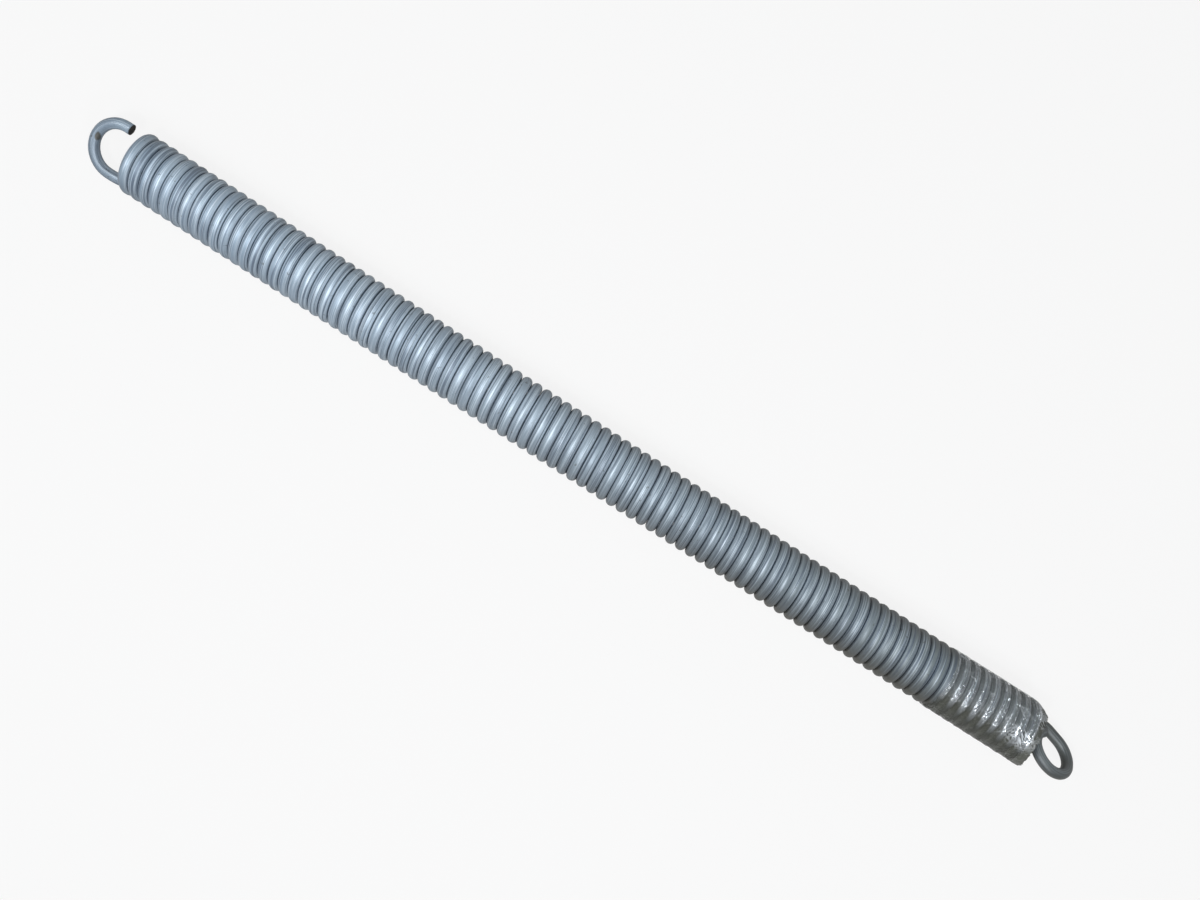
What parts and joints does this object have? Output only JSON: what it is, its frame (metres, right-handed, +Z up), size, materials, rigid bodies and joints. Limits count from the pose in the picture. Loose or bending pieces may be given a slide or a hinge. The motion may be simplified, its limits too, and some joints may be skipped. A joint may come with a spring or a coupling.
{
  "type": "trailer ramp spring",
  "caption": "Long close-wound steel extension spring with an open hook at one end, a closed eye at the other and a shrunk film sleeve.",
  "frame": {"origin": "centre of the bounding box in plan, on the surface that the spring lies on", "axes": "+X along the coil from the open hook to the closed eye, +Z up from the surface that it lies on"},
  "size_m": [0.6833, 0.0406, 0.0386],
  "materials": {
    "wire": "zinc-coated drawn wire, satin, with draw lines",
    "film": "clear crinkled film"
  },
  "bodies": {
    "root": {"spring_wire": "wire", "film_wrap": "film"}
  },
  "joints": []
}
